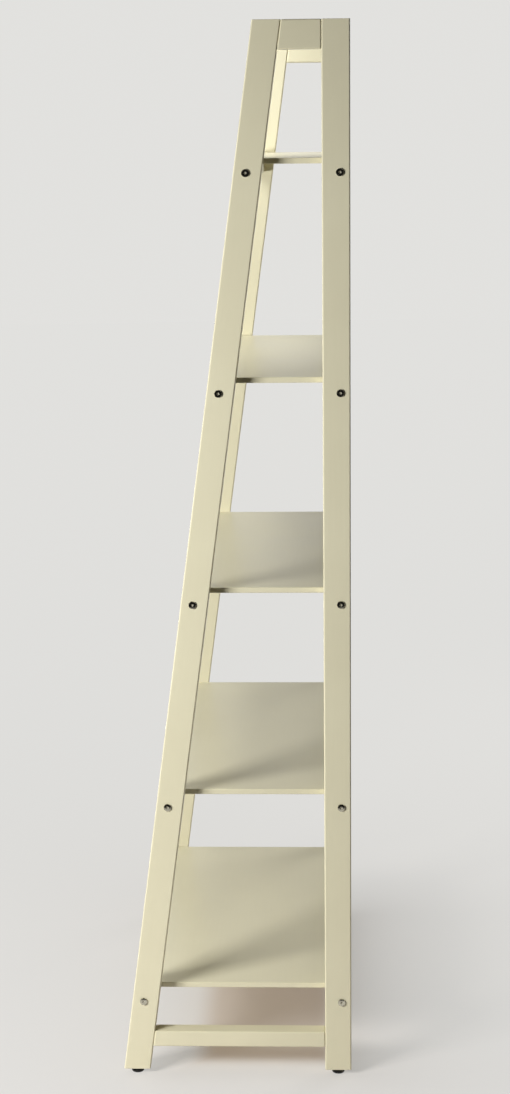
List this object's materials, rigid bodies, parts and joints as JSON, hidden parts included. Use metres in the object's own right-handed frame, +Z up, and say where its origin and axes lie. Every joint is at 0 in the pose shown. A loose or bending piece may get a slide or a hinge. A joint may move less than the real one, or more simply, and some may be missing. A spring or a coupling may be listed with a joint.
{
  "type": "ladder shelf",
  "caption": "Tall free-standing ladder shelf: upright rear posts, leaning front posts and open shelves that get deeper towards the floor, on small levelling feet.",
  "frame": {"origin": "on the floor, at the middle of the width and of the depth", "axes": "+X along the shelves to the right side frame, +Y from front to rear, +Z up"},
  "size_m": [0.7674, 0.4064, 1.829],
  "materials": {
    "painted_wood": "cream satin lacquer",
    "dowel_wood": "bare beech",
    "bolt_metal": "polished nickel plate",
    "zinc_steel": "zinc plate",
    "foot_plastic": "black moulded plastic"
  },
  "bodies": {
    "shelf_unit": {"right_top_rail": "painted_wood", "right_bottom_rail": "painted_wood", "right_frame_dowels": "dowel_wood", "right_front_post": "painted_wood", "right_front_bolts": "bolt_metal", "right_front_barrel_nuts": "zinc_steel", "right_front_foot_insert": "zinc_steel", "right_rear_post": "painted_wood", "right_rear_bolts": "bolt_metal", "right_rear_barrel_nuts": "zinc_steel", "right_rear_foot_insert": "zinc_steel", "left_top_rail": "painted_wood", "left_bottom_rail": "painted_wood", "left_frame_dowels": "dowel_wood", "left_front_post": "painted_wood", "left_front_bolts": "bolt_metal", "left_front_barrel_nuts": "zinc_steel", "left_front_foot_insert": "zinc_steel", "left_rear_post": "painted_wood", "left_rear_bolts": "bolt_metal", "left_rear_barrel_nuts": "zinc_steel", "left_rear_foot_insert": "zinc_steel", "shelf_1_panel": "painted_wood", "shelf_1_screws": "zinc_steel", "shelf_1_front_rail": "painted_wood", "shelf_1_rear_rail": "painted_wood", "shelf_2_panel": "painted_wood", "shelf_2_screws": "zinc_steel", "shelf_2_front_rail": "painted_wood", "shelf_2_rear_rail": "painted_wood", "shelf_3_panel": "painted_wood", "shelf_3_screws": "zinc_steel", "shelf_3_front_rail": "painted_wood", "shelf_3_rear_rail": "painted_wood", "shelf_4_panel": "painted_wood", "shelf_4_screws": "zinc_steel", "shelf_4_front_rail": "painted_wood", "shelf_4_rear_rail": "painted_wood", "shelf_5_panel": "painted_wood", "shelf_5_screws": "zinc_steel", "shelf_5_front_rail": "painted_wood", "shelf_5_rear_rail": "painted_wood"},
    "right_front_foot": {"right_front_foot_pad": "foot_plastic"},
    "right_front_stud": {"right_front_foot_stud": "zinc_steel"},
    "right_rear_foot": {"right_rear_foot_pad": "foot_plastic"},
    "right_rear_stud": {"right_rear_foot_stud": "zinc_steel"},
    "left_front_foot": {"left_front_foot_pad": "foot_plastic"},
    "left_front_stud": {"left_front_foot_stud": "zinc_steel"},
    "left_rear_foot": {"left_rear_foot_pad": "foot_plastic"},
    "left_rear_stud": {"left_rear_foot_stud": "zinc_steel"}
  },
  "joints": [
    {"name": "right_front_foot_level", "type": "slide", "parent": "shelf_unit", "child": "right_front_foot", "axis": [0, 0, -1], "range_m": [0, 0.01]},
    {"name": "right_front_stud_turn", "type": "hinge", "parent": "right_front_foot", "child": "right_front_stud", "pos_m": [0.366, -0.17979, 0.00556], "axis": [0, 0, -1], "range_deg": [-2, 2882]},
    {"name": "right_rear_foot_level", "type": "slide", "parent": "shelf_unit", "child": "right_rear_foot", "axis": [0, 0, -1], "range_m": [0, 0.01]},
    {"name": "right_rear_stud_turn", "type": "hinge", "parent": "right_rear_foot", "child": "right_rear_stud", "pos_m": [0.366, 0.18, 0.00556], "axis": [0, 0, -1], "range_deg": [-2, 2882]},
    {"name": "left_front_foot_level", "type": "slide", "parent": "shelf_unit", "child": "left_front_foot", "axis": [0, 0, -1], "range_m": [0, 0.01]},
    {"name": "left_front_stud_turn", "type": "hinge", "parent": "left_front_foot", "child": "left_front_stud", "pos_m": [-0.366, -0.17979, 0.00556], "axis": [0, 0, -1], "range_deg": [-2, 2882]},
    {"name": "left_rear_foot_level", "type": "slide", "parent": "shelf_unit", "child": "left_rear_foot", "axis": [0, 0, -1], "range_m": [0, 0.01]},
    {"name": "left_rear_stud_turn", "type": "hinge", "parent": "left_rear_foot", "child": "left_rear_stud", "pos_m": [-0.366, 0.18, 0.00556], "axis": [0, 0, -1], "range_deg": [-2, 2882]}
  ],
  "couplings": [
    {"joint": "right_front_stud_turn", "follows": "right_front_foot_level", "rad_per_m": 5026.5},
    {"joint": "right_rear_stud_turn", "follows": "right_rear_foot_level", "rad_per_m": 5026.5},
    {"joint": "left_front_stud_turn", "follows": "left_front_foot_level", "rad_per_m": 5026.5},
    {"joint": "left_rear_stud_turn", "follows": "left_rear_foot_level", "rad_per_m": 5026.5}
  ]
}
